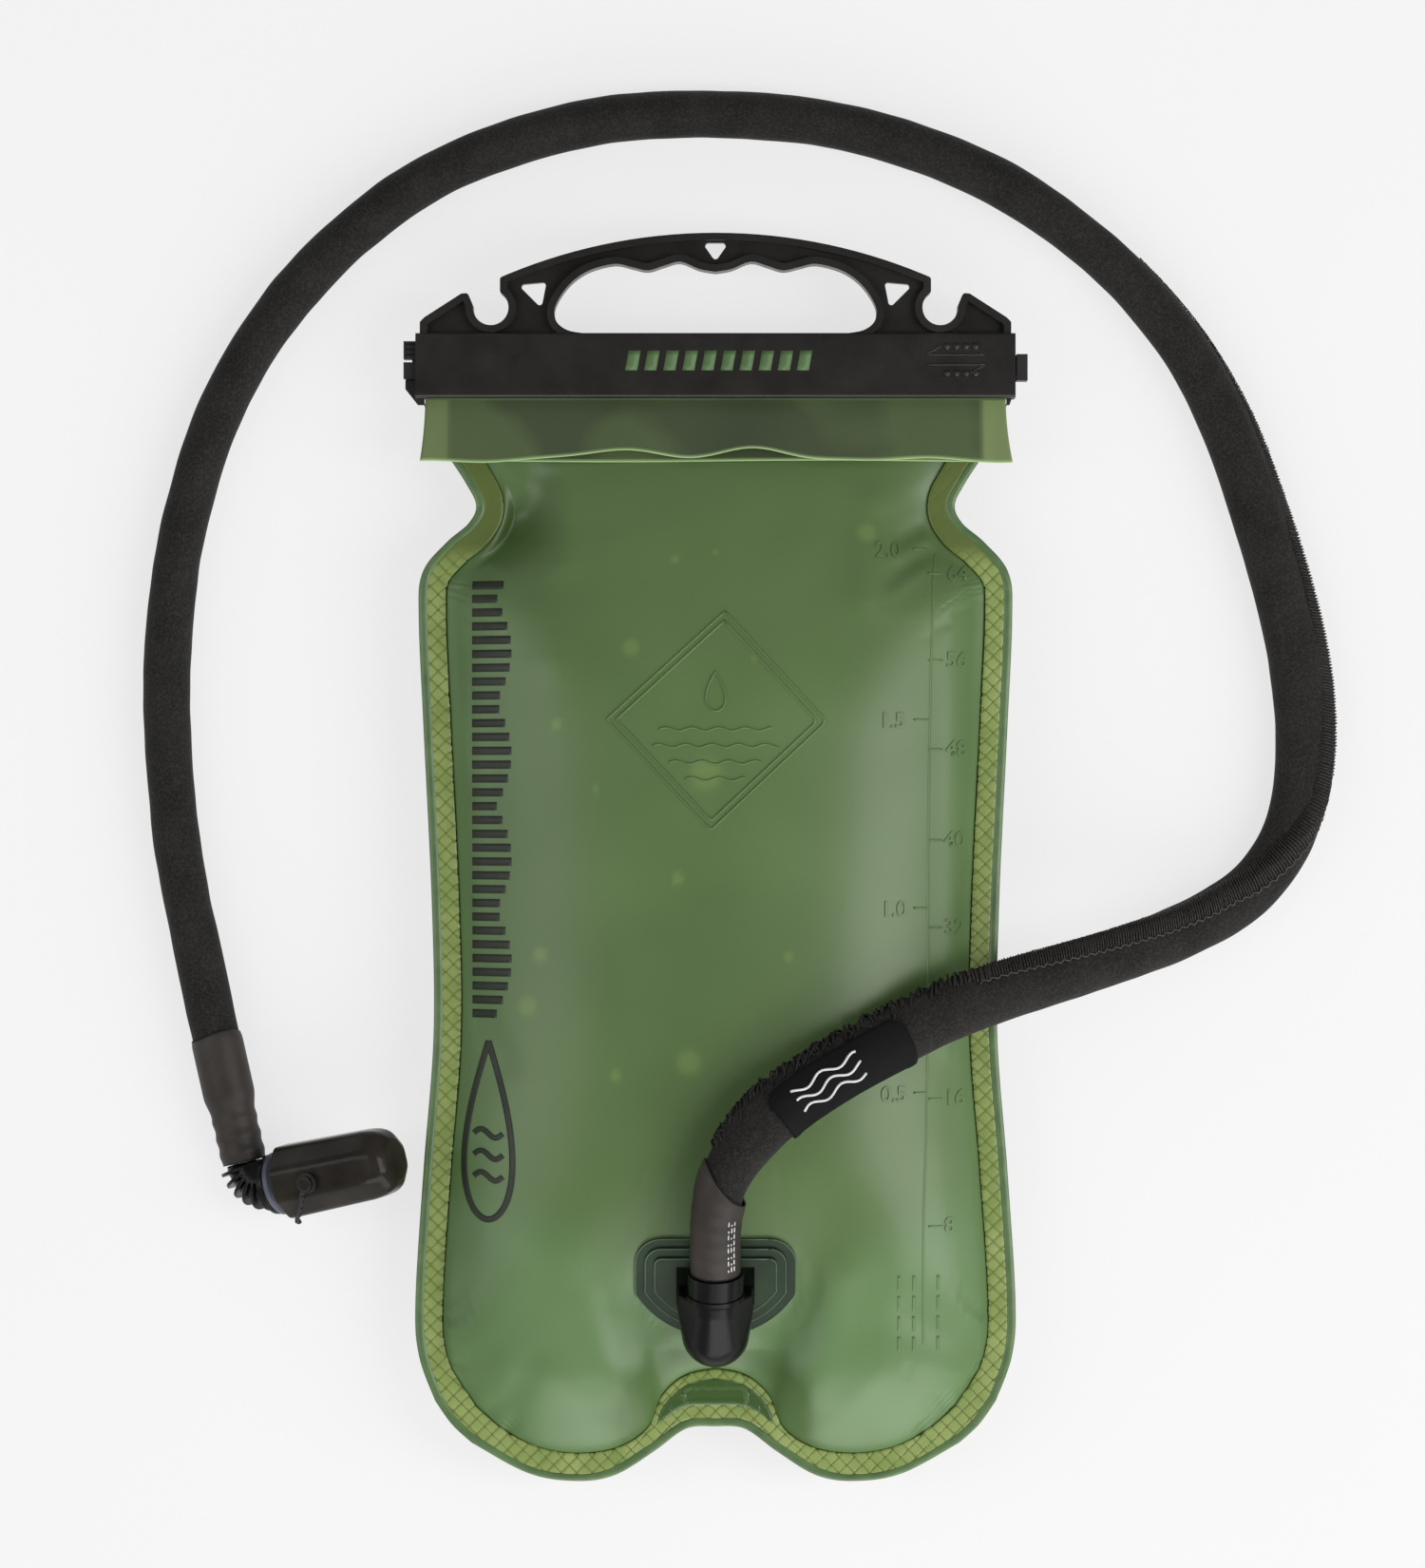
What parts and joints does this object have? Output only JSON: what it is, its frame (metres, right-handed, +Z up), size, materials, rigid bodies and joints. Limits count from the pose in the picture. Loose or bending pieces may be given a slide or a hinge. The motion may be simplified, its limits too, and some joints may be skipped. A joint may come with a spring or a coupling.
{
  "type": "hydration bladder",
  "caption": "Soft two litre drinking reservoir with a slide-lock carry handle, folded mouth, welded hose port, insulated drink hose and elbow bite valve under a dust cap.",
  "frame": {"origin": "on the resting surface, under the centre of the reservoir with its slide lock, without the hose", "axes": "+Y towards the carry handle, +X across the reservoir, +Z up from the resting surface through the front film"},
  "size_m": [0.364, 0.425, 0.065],
  "materials": {
    "film": "translucent green TPU film, satin gloss",
    "rail_plastic": "moulded, satin",
    "lock_plastic": "moulded, fine spark texture, satin",
    "port_green": "moulded dark green TPU, satin gloss",
    "seal_rubber": "smooth",
    "fitting_black": "moulded, glossy",
    "tube_clear": "clear flexible tube",
    "neoprene": "knit-faced neoprene",
    "label_fabric": "smooth woven label",
    "shrink_tube": "heat-shrink tube, satin",
    "gasket_grey": "smooth grey silicone",
    "silicone": "soft silicone",
    "smoky_cap": "smoky translucent, high gloss",
    "tether_rubber": "moulded strap"
  },
  "bodies": {
    "root": {"front_film": "film", "back_film": "film", "fold_rail": "rail_plastic", "neck_rail": "rail_plastic", "port_flange": "port_green", "port_socket": "port_green", "elbow_o_rings": "seal_rubber", "port_elbow": "fitting_black", "hose_collar": "fitting_black", "drink_tube": "tube_clear", "insulating_sleeve": "neoprene", "sleeve_label": "label_fabric", "port_shrink_sleeve": "shrink_tube", "valve_shrink_sleeve": "shrink_tube", "valve_elbow": "fitting_black", "valve_core": "fitting_black", "valve_gasket": "gasket_grey", "cap_tether": "tether_rubber"},
    "lock": {"slide_lock": "lock_plastic"},
    "mouthpiece": {"valve_nozzle": "fitting_black", "nozzle_o_ring": "seal_rubber", "bite_mouthpiece": "silicone"},
    "cap": {"dust_cap": "smoky_cap"}
  },
  "joints": [
    {"name": "lock_slide", "type": "slide", "parent": "root", "child": "lock", "axis": [-1, 0, 0], "range_m": [0, 0.19]},
    {"name": "valve_twist", "type": "hinge", "parent": "root", "child": "mouthpiece", "pos_m": [-0.14259, -0.10228, 0.0095], "axis": [0.8758, 0.2022, 0.4384], "range_deg": [0, 90]},
    {"name": "cap_pull", "type": "slide", "parent": "root", "child": "cap", "axis": [0.8758, 0.2022, 0.4384], "range_m": [0, 0.034], "deforming": ["cap_tether"]}
  ]
}
